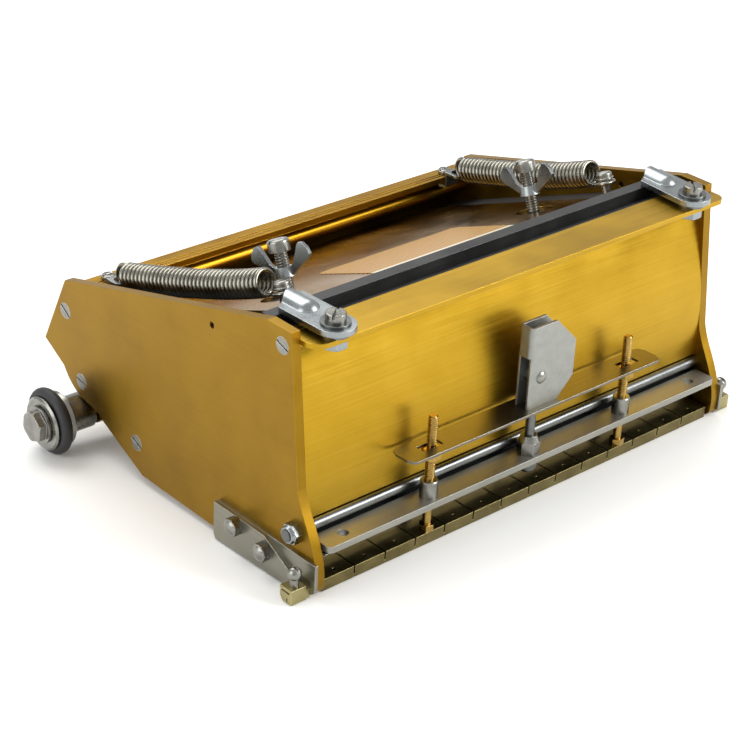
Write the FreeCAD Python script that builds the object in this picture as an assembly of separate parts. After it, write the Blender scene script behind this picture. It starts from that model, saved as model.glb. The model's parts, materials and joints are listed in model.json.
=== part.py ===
# Drywall flat finishing box, ten inch: two side plates, a curved front plate with a lip, a sprung
# pressure door on a rear hinge, a segmented brass shoe with its crown adjuster, skids and wheels.
# Units mm. Everything is laid out in the frame of the side plates (x right, y back, z up, y = 0 at the
# front edge of the shoe, x = 0 in the middle), then turned and shifted to stand on the floor.
import FreeCAD, Part
import math
import os

os.makedirs("parts", exist_ok=True)
V = FreeCAD.Vector
XAX, YAX, ZAX = V(1, 0, 0), V(0, 1, 0), V(0, 0, 1)

# ---- overall sizes -------------------------------------------------------------------------------
BOX_WIDTH = 256.8          # between the inner faces of the side plates
BOX_DEPTH = 205.2          # side plate, front tip to back corner
BOX_HEIGHT = 125.6         # side plate top above its own datum
PLATE_T = 4.76             # side plates
CSK_R, CSK_HEAD_R, CSK_DEPTH, CSK_LEN = 2.2, 4.1, 2.1, 13.0    # screws through the side plates
SET_R = 1.6                # set screws in the side plates
SHEET_T = 2.3              # front plate and lip
FLOOR_T = 2.4              # floor and back panel

# ---- fits ----------------------------------------------------------------------------------------
RUN_FIT = 0.05             # radial clearance of turning parts
DOOR_GAP = 0.35            # gasket to side plates and to the front plate
LATCH_GAP = 0.35           # latch underside above the door bar
TAB_GAP = 0.3              # end of the lip to the front edge of the right side plate

# ---- scales of the side profile ------------------------------------------------------------------
KY = BOX_DEPTH / 205.2
KZ = BOX_HEIGHT / 125.6
XI = BOX_WIDTH / 2.0       # inner face of a side plate
XO = XI + PLATE_T          # outer face of a side plate


def P(y, z):
    # a point of the side profile, scaled with the overall depth and height
    return (y * KY, z * KZ)


# ---- hinge, front arc, door ----------------------------------------------------------------------
HINGE_Y, HINGE_Z = P(187.0, 50.0)
ROD_R = 3.0                # hinge rod
ROD_SEAT = 3.2             # depth of the rod in each side plate
KNUCKLE_R = 4.6
ARC_FRONT_Y = 12.0         # foremost line of the curved front plate
R_OUT = HINGE_Y - ARC_FRONT_Y
R_IN = R_OUT - SHEET_T
LIP_TOP_Z = BOX_HEIGHT - 4.2
LIP_REACH = 18.4           # lip, front edge to the bend
LIP_CORNER_R = 8.0
LIP_TAB_R = 5.5            # corner of the lip where it passes in front of the right side plate
TIE_R = 2.8                # tie rod
TIE_Y, TIE_Z = 12.2, 31.9
FRONT_BOTTOM_Z = TIE_Z + TIE_R + 0.6

BACKING_T = 2.0            # steel plate under the gasket
GASKET_T = 3.0
DOOR_T = 2.0               # gold door plate
N_BACKING = 1.65           # underside of the backing above the hinge line
N_GASKET = N_BACKING + BACKING_T
N_DOOR = N_GASKET + GASKET_T
N_TOP = N_DOOR + DOOR_T
GASKET_TIP = math.sqrt((R_IN - DOOR_GAP) ** 2 - N_DOOR ** 2)
TIP_BELOW_LIP = 0.7        # gasket tip under the top of the lip
_amp = math.hypot(GASKET_TIP, N_DOOR)
DOOR_SLOPE = math.degrees(math.asin((LIP_TOP_Z - TIP_BELOW_LIP - HINGE_Z) / _amp)
                          - math.atan2(N_DOOR, GASKET_TIP))
BAR_W = 6.0                # black front bar of the door, front to back
BAR_SETBACK = 9.6          # bar front face behind the gasket tip, along the slope
DOOR_PLATE_SIDE = 24.0     # black border left at each side of the gold plate
DOOR_PLATE_BACK = 7.8      # gold plate back edge from the hinge line, along the slope
LABEL_W, LABEL_D, LABEL_T = 90.0, 49.0, 0.3

# ---- latches -------------------------------------------------------------------------------------
LATCH_X = XI - 15.4        # pivot
LATCH_FROM_LIP = 5.6       # pivot behind the front edge of the lip
LATCH_T = 2.6
LATCH_W = 18.6
LATCH_REACH = 31.2         # pivot to tip
LATCH_CHAMFER_X, LATCH_CHAMFER_Y = 8.6, 5.6
LATCH_TURN_L, LATCH_TURN_R = 1.5, -4.5
LATCH_SLOT_L, LATCH_SLOT_R = 37.0, 48.0
WASHER_T, WASHER_R = 1.15, 6.7
SPACERS_UNDER = 2
LATCH_SCREW_R, LATCH_HEAD_R, LATCH_HEAD_H = 3.2, 4.6, 3.9
RIDGE_R, RIDGE_IN_R = 6.3, 4.6   # hollow ridge pressed into the latch, outside and inside
RIDGE_SINK = 3.0           # axis of the ridge below the top of the latch
RIDGE_START = 12.4         # pivot to the rounded end of the ridge
RIDGE_X = 0.6

# ---- back rail, springs --------------------------------------------------------------------------
RAIL_T = 3.0
RAIL_FLANGE = 8.6          # top flange in front of the row of rail screws
RAIL_TOP_Z = 80.2 * KZ
SPRING_BACK_X = XI - 17.9
SPRING_FRONT_X = XI - 25.7
SPRING_R = 7.0
WIRE_R = 1.05
SPRING_COILS = 34
LOOP_R = 5.9               # hook loops, to the middle of the wire
LUG_T, LUG_W = 1.5, 10.0
LUG_RISE = 6.4             # the lug steps up in front of the rail
LUG_REACH = 9.7            # hook hole in front of the rail screw
LUG_HOLE_R = 3.2
POST_S = 142.8 * KY        # spring post on the door, from the hinge line
POST_HOOK_N = 16.5         # height of the spring hook over the hinge plane
POST_R, POST_BASE_R, POST_COLLAR_R, POST_HEAD_R = 2.4, 5.6, 4.6, 4.0
RAIL_SCREW_R = 2.0

# ---- door screws and wing nuts -------------------------------------------------------------------
DSCREW_X = 78.8 * BOX_WIDTH / 256.8
DSCREW_S = 113.9 * KY
DSCREW_R, DHEAD_R, DHEAD_H = 2.8, 5.2, 5.8
DSCREW_UNDER_HEAD = 20.6   # underside of the head above the gold plate
WING_FROM_PLATE = 8.8
WING_HUB_R, WING_HUB_H = 5.1, 4.6
WING_SPAN, WING_RISE, WING_T = 34.0, 15.2, 2.0
DOOR_HOLE_R = 9.4

# ---- shoe, bar and crown adjuster ----------------------------------------------------------------
SHOE_LEN = BOX_WIDTH - 2.8
SHOE_SEGMENTS = 14
PITCH = SHOE_LEN / SHOE_SEGMENTS
SHOE_TOP_Z, SHOE_BOTTOM_Z = 11.1, 5.0
SHOE_DEPTH = 11.2
SLIT_W, SLIT_D, NOTCH_D = 0.9, 4.4, 0.9
PUNCH_R = 0.9              # punch mark on each segment
ADJ_X = 3.5 * PITCH        # adjusting screws
ADJ_Y = 2.65               # centre line of the bar, screws and lever
BAR_TOP_Z, FLAT_T, FLAT_W = 28.9, 3.2, 12.6
BAR_HOLE_X, BAR_HOLE_R = XI - 14.4, 2.6
ADJ_R, ADJ_TOP_Z = 2.05, 70.2
ADJ_HEX_AF, ADJ_HEX_H = 6.4, 3.2
BUSH_R, BUSH_H = 4.2, 8.6
LEAF_TOP_Z, LEAF_T, LEAF_W = 55.0, 0.8, 15.6
LEAF_HALF = 81.5
LEAF_CORNER_R = 4.0
LEAF_SLOT_LEN, LEAF_SLOT_W = 14.0, 4.9
LEAF_NUT_AF, LEAF_NUT_H = 8.0, 5.5
POST_HEX_AF, POST_HEX_H = 9.6, 9.0
STUD_R = 2.3
STUD_FOOT_R, STUD_FOOT_H = 4.9, 2.4    # round foot of the stud under the bar
PIVOT_Z = LEAF_TOP_Z + 15.2
CAM = (15.2, 18.7, 21.2, 24.4, 26.8)   # pivot to each flat of the lever, first one down, then turning
LEVER_BACK_X = 8.6         # web of the lever left of the pivot
LEVER_W, LEVER_T, LEVER_BEND = 8.4, 1.4, 2.4
WEB_FROM_PIVOT = 11.4
PIN_R, PIN_HEAD_R, PIN_HEAD_H = 2.0, 3.1, 1.4
PIN_PLAY = 0.1             # pin heads off the cheeks of the lever
EYE_R = 4.3

# ---- skids ---------------------------------------------------------------------------------------
SKID_T, STRIP_T = 1.6, 2.0
SKID_BACK_Y, SKID_FRONT_Y, SKID_TOP_Z = 64.6, -3.6, 22.6
SKID_LOW_FRONT, SKID_LOW_BACK = 5.2, 3.5
BLOCK_X, BLOCK_Y, BLOCK_Z = 8.3, 7.8, 7.1
SKID_BOLTS = ((47.8, 18.8), (27.4, 16.0))
SKID_BOLT_R = 1.9
SKID_BOLT_AF, SKID_BOLT_H = 7.8, 4.4
BALL_R, BALL_NECK_R, BALL_RISE = 3.3, 2.2, 6.4

# ---- wheels --------------------------------------------------------------------------------------
AXLE_Y, AXLE_Z = P(177.0, 16.8)
TYRE_R, CORD_R = 16.8, 3.1
HUB_R, HUB_W = 13.5, 12.2
TYRE_FROM_FACE = 5.3       # middle of the tyre behind the outer face of the hub
SLEEVE_R = 9.2
SLEEVE_INSET = 1.6         # inner end of the sleeve past the inner face of the side plate
HUB_GAP = 0.4
WHEEL_OUT_X = XO + 21.0    # outer face of the hub
AXLE_R = 4.8
SHAFT_R = 4.0              # part of the wheel bolt inside the hub
BOLT_FLANGE_R, BOLT_FLANGE_T = 9.4, 1.3
BOLT_AF, BOLT_H = 13.8, 3.9
BOLT_THREAD_R, BOLT_THREAD_LEN = 3.0, 14.0

parts = {}


# ---- helpers -------------------------------------------------------------------------------------
def box(x0, x1, y0, y1, z0, z1):
    return Part.makeBox(x1 - x0, y1 - y0, z1 - z0, V(x0, y0, z0))


def cyl(r, p, d, h):
    return Part.makeCylinder(r, h, V(*p), V(*d))


def cone(r1, r2, p, d, h):
    return Part.makeCone(r1, r2, h, V(*p), V(*d))


def prism_x(pts, x0, x1):
    w = Part.makePolygon([V(x0, y, z) for y, z in pts] + [V(x0, *pts[0])])
    return Part.Face(w).extrude(V(x1 - x0, 0, 0))


def prism_y(pts, y0, y1):
    w = Part.makePolygon([V(x, y0, z) for x, z in pts] + [V(pts[0][0], y0, pts[0][1])])
    return Part.Face(w).extrude(V(0, y1 - y0, 0))


def prism_z(pts, z0, z1):
    w = Part.makePolygon([V(x, y, z0) for x, y in pts] + [V(pts[0][0], pts[0][1], z0)])
    return Part.Face(w).extrude(V(0, 0, z1 - z0))


def hexagon(af, p, d, h, turn=0.0):
    # hexagonal prism, across flats af, standing on p along d
    r = af / math.sqrt(3.0)
    pts = [V(r * math.cos(math.radians(60 * i + turn)), r * math.sin(math.radians(60 * i + turn)), 0)
           for i in range(6)]
    s = Part.Face(Part.makePolygon(pts + [pts[0]])).extrude(V(0, 0, h))
    s.Placement = FreeCAD.Placement(V(*p), FreeCAD.Rotation(ZAX, V(*d)))
    return s


def hex_chamfered(af, p, d, h, turn=0.0, bevel=0.12):
    # hexagon whose far corners are turned off like a nut or bolt head
    s = hexagon(af, (0, 0, 0), (0, 0, 1), h, turn)
    r = af / math.sqrt(3.0)
    c = Part.makeCone(r * (1 + h / (af * 0.6)), r * 0.86, h * (1 + bevel) * 1.6, V(0, 0, -h * 0.6), ZAX)
    c = c.common(Part.makeCylinder(r * 1.02, h, V(0, 0, 0), ZAX))
    s = s.common(c)
    s.Placement = FreeCAD.Placement(V(*p), FreeCAD.Rotation(ZAX, V(*d)))
    return s


def mirror(s):
    return s.mirror(V(0, 0, 0), XAX)


def to_door(s):
    # local frame of the door: x right, y back along the slope, z up off the hinge plane
    s = s.copy()
    s.rotate(V(0, 0, 0), XAX, -DOOR_SLOPE)
    s.translate(V(0, HINGE_Y, HINGE_Z))
    return s


def door_point(x, s, n):
    a = math.radians(DOOR_SLOPE)
    return V(x, HINGE_Y - s * math.cos(a) + n * math.sin(a), HINGE_Z + s * math.sin(a) + n * math.cos(a))


def add(name, *shapes):
    parts[name] = list(shapes)


def arc_y(z, r):
    return HINGE_Y - math.sqrt(r * r - (z - HINGE_Z) ** 2)


# ---- side plates ---------------------------------------------------------------------------------
A_BACK = P(185.1, 84.3)
B_BACK = P(203.3, 46.5)
PORTS = {"rail": P(185.4, 68.0), "rear": P(173.1, 34.9), "mid": P(128.6, 21.7)}
TOP_FRONT = (arc_y(117.5 * KZ, R_IN) - 3.54, 117.5 * KZ)


def side_outline():
    e = []

    def line(a, b):
        e.append(Part.makeLine(V(0, *a), V(0, *b)))

    top = BOX_HEIGHT
    h = (P(18.9, 0)[0], top)
    line(h, (P(34.6, 0)[0], top))
    line((P(34.6, 0)[0], top), A_BACK)
    line(A_BACK, B_BACK)
    line(B_BACK, P(187.6, 37.6))
    e.append(Part.Arc(V(0, *P(187.6, 37.6)), V(0, *P(180.2, 29.6)), V(0, *P(172.2, 25.9))).toShape())
    line(P(172.2, 25.9), P(164.0, 24.8))
    e.append(Part.Arc(V(0, *P(164.0, 24.8)), V(0, *P(160.4, 23.7)), V(0, *P(157.4, 21.9))).toShape())
    line(P(157.4, 21.9), P(123.9, 6.0))
    line(P(123.9, 6.0), P(67.9, 5.6))
    line(P(67.9, 5.6), (2.4, SHOE_BOTTOM_Z + 0.6))
    e.append(Part.Arc(V(0, 2.4, SHOE_BOTTOM_Z + 0.6), V(0, -0.9, SHOE_BOTTOM_Z + 1.8), V(0, -2.3, 10.0)).toShape())
    crv = Part.BSplineCurve()
    top_s = P(11.5, 52.6)
    crv.interpolate([V(0, -2.3, 10.0), V(0, -1.9, 20.0), V(0, 3.0, 33.7), V(0, 8.7, 44.6), V(0, *top_s)])
    e.append(crv.toShape())
    line(top_s, h)
    return Part.Wire(Part.__sortEdges__(e))


def countersunk(yz, x, slot_turn):
    # slotted countersunk screw, its head flush with the outer face at x
    head = cone(CSK_HEAD_R, CSK_R, (x, *yz), (-1, 0, 0), CSK_DEPTH)
    s = head.fuse(cyl(CSK_R, (x, *yz), (-1, 0, 0), CSK_LEN))
    slot = Part.makeBox(1.0, 2.3 * CSK_HEAD_R, 1.1, V(-0.5, -1.15 * CSK_HEAD_R, -0.55))
    slot.rotate(V(0, 0, 0), XAX, slot_turn)
    slot.translate(V(x - 0.35, *yz))
    return s.cut(slot).removeSplitter()


def countersink(yz, x):
    return cone(CSK_HEAD_R, CSK_R, (x, *yz), (-1, 0, 0), CSK_DEPTH).fuse(
        cyl(CSK_R, (x, *yz), (-1, 0, 0), PLATE_T + 1))


SCREW_POINTS = [PORTS["rail"], PORTS["rear"], PORTS["mid"], TOP_FRONT]
SLOT_TURNS = (34.0, 8.0, 24.0, 19.0)
SET_SCREW = P(72.0, 107.4)


def side_plate():
    f = Part.Face(side_outline())
    s = f.extrude(V(PLATE_T, 0, 0))
    s.translate(V(XI, 0, 0))
    for yz in SCREW_POINTS:
        s = s.cut(countersink(yz, XO))
    s = s.cut(cyl(TIE_R, (XI - 1, TIE_Y, TIE_Z), (1, 0, 0), PLATE_T + 2))
    s = s.cut(cyl(ROD_R, (XI - 1, HINGE_Y, HINGE_Z), (1, 0, 0), 1 + ROD_SEAT))
    s = s.cut(cyl(SET_R, (XI - 1, *SET_SCREW), (1, 0, 0), PLATE_T + 2))
    for yz in SKID_BOLTS:
        s = s.cut(cyl(SKID_BOLT_R, (XI - 1, *yz), (1, 0, 0), PLATE_T + 2))
    return s


right_plate = side_plate()
add("side_plate_right", right_plate)
add("side_plate_left", mirror(right_plate))
screws = [countersunk(yz, XO, turn) for yz, turn in zip(SCREW_POINTS, SLOT_TURNS)]
add("plate_screws", *(screws + [mirror(s) for s in screws]))
tiny = cyl(SET_R, (XI + 0.4, *SET_SCREW), (1, 0, 0), PLATE_T - 0.9).cut(
    hexagon(1.5, (XO - 1.7, *SET_SCREW), (1, 0, 0), 2.0))
add("set_screws", tiny, mirror(tiny))

# ---- front plate: arc about the hinge, bent forward into the lip ---------------------------------
bend_z = LIP_TOP_Z
y_bend = arc_y(bend_z, R_OUT)
LIP_FRONT_Y = y_bend - LIP_REACH


def ring_sector(r0, r1, z0, z1, x0, x1):
    ring = cyl(r1, (x0, HINGE_Y, HINGE_Z), (1, 0, 0), x1 - x0).cut(
        cyl(r0, (x0 - 1, HINGE_Y, HINGE_Z), (1, 0, 0), x1 - x0 + 2))
    return ring.common(box(x0 - 1, x1 + 1, HINGE_Y - r1 - 5, HINGE_Y - r1 * 0.5, z0, z1))


arc_sheet = ring_sector(R_IN, R_OUT, FRONT_BOTTOM_Z, LIP_TOP_Z, -XI, XI)
lip = box(-XI, XI, LIP_FRONT_Y, arc_y(bend_z - SHEET_T * 0.5, R_IN) - 0.4, LIP_TOP_Z - SHEET_T, LIP_TOP_Z)
plate_tip = right_plate.common(box(XI, XO, 0, HINGE_Y, LIP_TOP_Z - SHEET_T, LIP_TOP_Z)).BoundBox.YMin
tab = box(XI - 1, XO, LIP_FRONT_Y, plate_tip - TAB_GAP, LIP_TOP_Z - SHEET_T, LIP_TOP_Z)
lip = lip.fuse(tab).removeSplitter()


def upright_edges(shape, test):
    # edges that run straight up, at the x and y that the test accepts
    return [e for e in shape.Edges if e.BoundBox.XLength < 1e-6 and e.BoundBox.YLength < 1e-6
            and test(e.BoundBox.XMin, e.BoundBox.YMin)]


lip = lip.makeFillet(LIP_CORNER_R, upright_edges(lip, lambda x, y: y < LIP_FRONT_Y + 0.1 and x < 0))
lip = lip.makeFillet(LIP_TAB_R, upright_edges(lip, lambda x, y: y < LIP_FRONT_Y + 0.1 and x > 0))
front = arc_sheet.fuse(lip).removeSplitter()
LATCH_Y = LIP_FRONT_Y + LATCH_FROM_LIP
for sx in (-1, 1):
    front = front.cut(cyl(LATCH_SCREW_R, (sx * LATCH_X, LATCH_Y, LIP_TOP_Z - SHEET_T - 1), (0, 0, 1), SHEET_T + 2))
    y, z = TOP_FRONT
    port = cyl(4.2, (sx * (XI - 12), y, z), (sx, 0, 0), 12.0)
    port = port.cut(cyl(R_OUT, (-XI - 1, HINGE_Y, HINGE_Z), (1, 0, 0), BOX_WIDTH + 2).common(
        box(-XI - 1, XI + 1, 0, HINGE_Y, HINGE_Z, BOX_HEIGHT * 1.2)))
    front = front.fuse(port)
    front = front.cut(cyl(2.2, (sx * (XI - 9.5), y, z), (sx, 0, 0), 12.0))
add("front_plate", front.removeSplitter())

# ---- tie rod -------------------------------------------------------------------------------------
add("tie_rod", cyl(TIE_R, (-XO - 5.6, TIE_Y, TIE_Z), (1, 0, 0), 2 * XO + 11.2))
nut = hex_chamfered(9.0, (XO, TIE_Y, TIE_Z), (1, 0, 0), 3.6, 18).fuse(
    cone(4.6, 3.7, (XO + 3.4, TIE_Y, TIE_Z), (1, 0, 0), 1.7)).cut(
    cyl(TIE_R, (XO - 1, TIE_Y, TIE_Z), (1, 0, 0), 9))
add("tie_rod_nuts", nut, mirror(nut))


# ---- floor and back panel ------------------------------------------------------------------------
def strip_profile(pts, t):
    # polyline of constant thickness, offset to both sides with mitred corners
    def nrm(a, b):
        d = math.hypot(b[0] - a[0], b[1] - a[1])
        return (-(b[1] - a[1]) / d, (b[0] - a[0]) / d)
    up, dn = [], []
    for i, p in enumerate(pts):
        ns = []
        if i > 0:
            ns.append(nrm(pts[i - 1], p))
        if i < len(pts) - 1:
            ns.append(nrm(p, pts[i + 1]))
        nx = sum(n[0] for n in ns) / len(ns)
        ny = sum(n[1] for n in ns) / len(ns)
        k = (t / 2.0) / (nx * nx + ny * ny)
        up.append((p[0] + nx * k, p[1] + ny * k))
        dn.append((p[0] - nx * k, p[1] - ny * k))
    return up + dn[::-1]


WEB_Y0, WEB_Y1 = 15.4, 17.9      # web of the blade holder
OUTLET_Y0, OUTLET_Y1 = WEB_Y1, WEB_Y1 + 8.0
RAIL_BACK = P(189.0, 71.0)
floor_line = [RAIL_BACK, P(198.4, 48.4), P(186.6, 41.0), PORTS["rear"], PORTS["mid"],
              P(103.0, 13.6), (OUTLET_Y1, 12.6)]
floor = prism_x(strip_profile(floor_line, FLOOR_T), -XI, XI)
for k in ("rear", "mid"):
    floor = floor.fuse(cyl(4.4, (-XI, *PORTS[k]), (1, 0, 0), BOX_WIDTH))
floor = floor.removeSplitter()
for k in ("rear", "mid"):
    for sx in (-1, 1):
        floor = floor.cut(cyl(2.2, (sx * (XI - 9), *PORTS[k]), (sx, 0, 0), 12))

# ---- back rail -----------------------------------------------------------------------------------
ry, rz = PORTS["rail"]
rail_pts = [(ry - RAIL_FLANGE, RAIL_TOP_Z), (ry - RAIL_FLANGE, RAIL_TOP_Z - RAIL_T), (ry - 0.3, RAIL_TOP_Z - RAIL_T),
            (ry - 0.3, rz), (ry + 2.4, rz), (ry + 2.4, RAIL_TOP_Z - RAIL_T * 0.5), (ry + 1.4, RAIL_TOP_Z)]
rail = prism_x(rail_pts, -XI, XI).fuse(cyl(3.7, (-XI, ry, rz), (1, 0, 0), BOX_WIDTH)).removeSplitter()
for gy in (ry - 6.9, ry - 5.0):
    rail = rail.cut(box(-XI - 1, XI + 1, gy, gy + 0.9, RAIL_TOP_Z - 0.6, RAIL_TOP_Z + 1))
rail_tail = prism_x([(ry + 1.2, rz + 3.2), (ry + 2.4, rz + 3.2), (RAIL_BACK[0] + 1.1, RAIL_BACK[1] + 0.5),
                     (RAIL_BACK[0] - 1.1, RAIL_BACK[1] - 0.5), (ry + 1.2, rz - 1.5)], -XI, XI)
rail = rail.fuse(rail_tail).cut(prism_x(strip_profile(floor_line, FLOOR_T), -XI - 1, XI + 1)).removeSplitter()
RAIL_SCREW_Y = ry - 3.9
for sx in (-1, 1):
    rail = rail.cut(cyl(2.2, (sx * (XI - 9), ry, rz), (sx, 0, 0), 12))
    rail = rail.cut(cyl(RAIL_SCREW_R, (sx * SPRING_BACK_X, RAIL_SCREW_Y, RAIL_TOP_Z - RAIL_T - 1), (0, 0, 1), 9))
add("back_rail", rail)
floor = floor.cut(rail)
add("floor_panel", floor.removeSplitter())

LUG_TOP = RAIL_TOP_Z - RAIL_T
HOOK_Y = RAIL_SCREW_Y - LUG_REACH
HOOK_Z = LUG_TOP + LUG_RISE - LUG_T / 2
LUG_FRONT = HOOK_Y - LUG_W / 2
step_y = ry - RAIL_FLANGE - 0.4
lug_path = [(RAIL_SCREW_Y + 2.1, LUG_TOP), (RAIL_SCREW_Y + 2.1, LUG_TOP - LUG_T), (step_y - LUG_T, LUG_TOP - LUG_T),
            (step_y - LUG_T, LUG_TOP + LUG_RISE - LUG_T), (LUG_FRONT, LUG_TOP + LUG_RISE - LUG_T),
            (LUG_FRONT, LUG_TOP + LUG_RISE), (step_y, LUG_TOP + LUG_RISE), (step_y, LUG_TOP)]
lug = prism_x(lug_path, SPRING_BACK_X - LUG_W / 2, SPRING_BACK_X + LUG_W / 2)
lug = lug.makeFillet(LUG_W * 0.4, upright_edges(lug, lambda x, y: y < LUG_FRONT + 0.1))
lug = lug.cut(cyl(LUG_HOLE_R, (SPRING_BACK_X, HOOK_Y, HOOK_Z - 3), (0, 0, 1), 6))
lug = lug.cut(cyl(RAIL_SCREW_R, (SPRING_BACK_X, RAIL_SCREW_Y, LUG_TOP - LUG_T - 1), (0, 0, 1), 4))
add("spring_lugs", lug, mirror(lug))
pan = cyl(RAIL_SCREW_R, (SPRING_BACK_X, RAIL_SCREW_Y, LUG_TOP - LUG_T - 3.4), (0, 0, 1), RAIL_T + LUG_T + 3.4)
pan_head = cyl(3.6, (SPRING_BACK_X, RAIL_SCREW_Y, RAIL_TOP_Z), (0, 0, 1), 2.4)
pan_head = pan_head.makeFillet(1.3, [e for e in pan_head.Edges if e.BoundBox.ZMin > RAIL_TOP_Z + 2.3])
pan = pan.fuse(pan_head).cut(box(SPRING_BACK_X - 4, SPRING_BACK_X + 4, RAIL_SCREW_Y - 0.4, RAIL_SCREW_Y + 0.4,
                                 RAIL_TOP_Z + 1.5, RAIL_TOP_Z + 4)).removeSplitter()
add("rail_screws", pan, mirror(pan))
rnut = hex_chamfered(6.6, (SPRING_BACK_X, RAIL_SCREW_Y, LUG_TOP - LUG_T), (0, 0, -1), 2.8).cut(
    cyl(RAIL_SCREW_R, (SPRING_BACK_X, RAIL_SCREW_Y, LUG_TOP - LUG_T + 1), (0, 0, -1), 9))
add("rail_nuts", rnut, mirror(rnut))

# ---- hinge rod -----------------------------------------------------------------------------------
add("hinge_rod", cyl(ROD_R, (-XI - ROD_SEAT, HINGE_Y, HINGE_Z), (1, 0, 0), BOX_WIDTH + 2 * ROD_SEAT))

# ---- blade holder, blade, shoe -------------------------------------------------------------------
holder_top = FRONT_BOTTOM_Z - 0.4
holder = prism_x([(WEB_Y0, SHOE_BOTTOM_Z + 3), (WEB_Y1, SHOE_BOTTOM_Z + 3), (WEB_Y1, holder_top),
                  (WEB_Y0, holder_top), (WEB_Y0, BAR_TOP_Z - FLAT_T), (ADJ_Y + 1.0, BAR_TOP_Z - FLAT_T),
                  (ADJ_Y + 1.0, BAR_TOP_Z - FLAT_T - 2.6), (WEB_Y0, BAR_TOP_Z - FLAT_T - 2.6)], -XI, XI)
BLADE_T = 0.8
BLADE_Y = SHOE_DEPTH - 0.4
holder = holder.fuse(prism_x([(BLADE_Y + BLADE_T, SHOE_BOTTOM_Z + 3), (WEB_Y0 + 0.5, SHOE_BOTTOM_Z + 3),
                              (WEB_Y0 + 0.5, SHOE_TOP_Z + 3), (BLADE_Y + BLADE_T, SHOE_TOP_Z + 3)], -XI, XI))
for sx in (-1, 1):
    for radius, x in ((BUSH_R * 0.62, ADJ_X), (STUD_FOOT_R + 0.3, 0.0), (BAR_HOLE_R, BAR_HOLE_X)):
        holder = holder.cut(cyl(radius, (sx * x, ADJ_Y, BAR_TOP_Z - FLAT_T - 4), (0, 0, 1), 5))
add("blade_holder", holder.removeSplitter())
add("blade", box(-SHOE_LEN / 2, SHOE_LEN / 2, BLADE_Y, BLADE_Y + BLADE_T, SHOE_BOTTOM_Z, SHOE_TOP_Z + 2.6))

shoe = prism_x([(-0.4, SHOE_TOP_Z), (-0.1, SHOE_BOTTOM_Z), (BLADE_Y, SHOE_BOTTOM_Z), (BLADE_Y, SHOE_TOP_Z)],
               -SHOE_LEN / 2, SHOE_LEN / 2)
cuts = []
for i in range(1, SHOE_SEGMENTS):
    x = -SHOE_LEN / 2 + i * PITCH
    cuts.append(box(x - SLIT_W / 2, x + SLIT_W / 2, -2, BLADE_Y + 1, SHOE_TOP_Z - SLIT_D, SHOE_TOP_Z + 1))
    cuts.append(box(x - SLIT_W / 2, x + SLIT_W / 2, -2, BLADE_Y + 1, SHOE_BOTTOM_Z - 1, SHOE_BOTTOM_Z + NOTCH_D))
for i in range(SHOE_SEGMENTS):
    x = -SHOE_LEN / 2 + (i + 0.5) * PITCH
    cuts.append(cyl(PUNCH_R, (x, ADJ_Y + 0.6, SHOE_TOP_Z - 2.0), (0, 0, 1), 3))
shoe = shoe.cut(Part.makeCompound(cuts))
add("brass_shoe", shoe)

# ---- bar, bushes, adjusting screws ---------------------------------------------------------------
bar = box(-SHOE_LEN / 2, SHOE_LEN / 2, ADJ_Y - FLAT_W / 2, ADJ_Y + FLAT_W / 2, BAR_TOP_Z - FLAT_T, BAR_TOP_Z)
bar = bar.makeFillet(2.6, [e for e in bar.Edges if abs(e.BoundBox.ZLength - FLAT_T) < 1e-6
                           and e.BoundBox.YMax < ADJ_Y])
for sx in (-1, 1):
    bar = bar.cut(cyl(BAR_HOLE_R, (sx * BAR_HOLE_X, ADJ_Y, BAR_TOP_Z - 9), (0, 0, 1), 20))
    bar = bar.cut(cyl(ADJ_R, (sx * ADJ_X, ADJ_Y, BAR_TOP_Z - 9), (0, 0, 1), 20))
bar = bar.cut(cyl(STUD_R, (0, ADJ_Y, BAR_TOP_Z - 9), (0, 0, 1), 20))
add("adjuster_bar", bar)
bush = cyl(BUSH_R, (ADJ_X, ADJ_Y, BAR_TOP_Z), (0, 0, 1), BUSH_H)
bush = bush.makeChamfer(0.5, [e for e in bush.Edges if e.BoundBox.ZMin > BAR_TOP_Z + BUSH_H - 0.01])
bush = bush.cut(cyl(ADJ_R, (ADJ_X, ADJ_Y, BAR_TOP_Z - 1), (0, 0, 1), 20))
add("bar_bushes", bush, mirror(bush))
adj = hexagon(ADJ_HEX_AF, (ADJ_X, ADJ_Y, SHOE_TOP_Z), (0, 0, 1), ADJ_HEX_H, 12).fuse(
    cyl(ADJ_R, (ADJ_X, ADJ_Y, SHOE_TOP_Z + 1), (0, 0, 1), ADJ_TOP_Z - SHOE_TOP_Z - 1)).removeSplitter()
adj = adj.makeChamfer(0.5, [e for e in adj.Edges if e.BoundBox.ZMin > ADJ_TOP_Z - 0.01])
add("adjust_screws", adj, mirror(adj))
lnut = hexagon(LEAF_NUT_AF, (ADJ_X, ADJ_Y, LEAF_TOP_Z - LEAF_T), (0, 0, -1), LEAF_NUT_H, 8).cut(
    cyl(ADJ_R, (ADJ_X, ADJ_Y, LEAF_TOP_Z + 1), (0, 0, -1), 20))
add("leaf_nuts", lnut, mirror(lnut))

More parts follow.
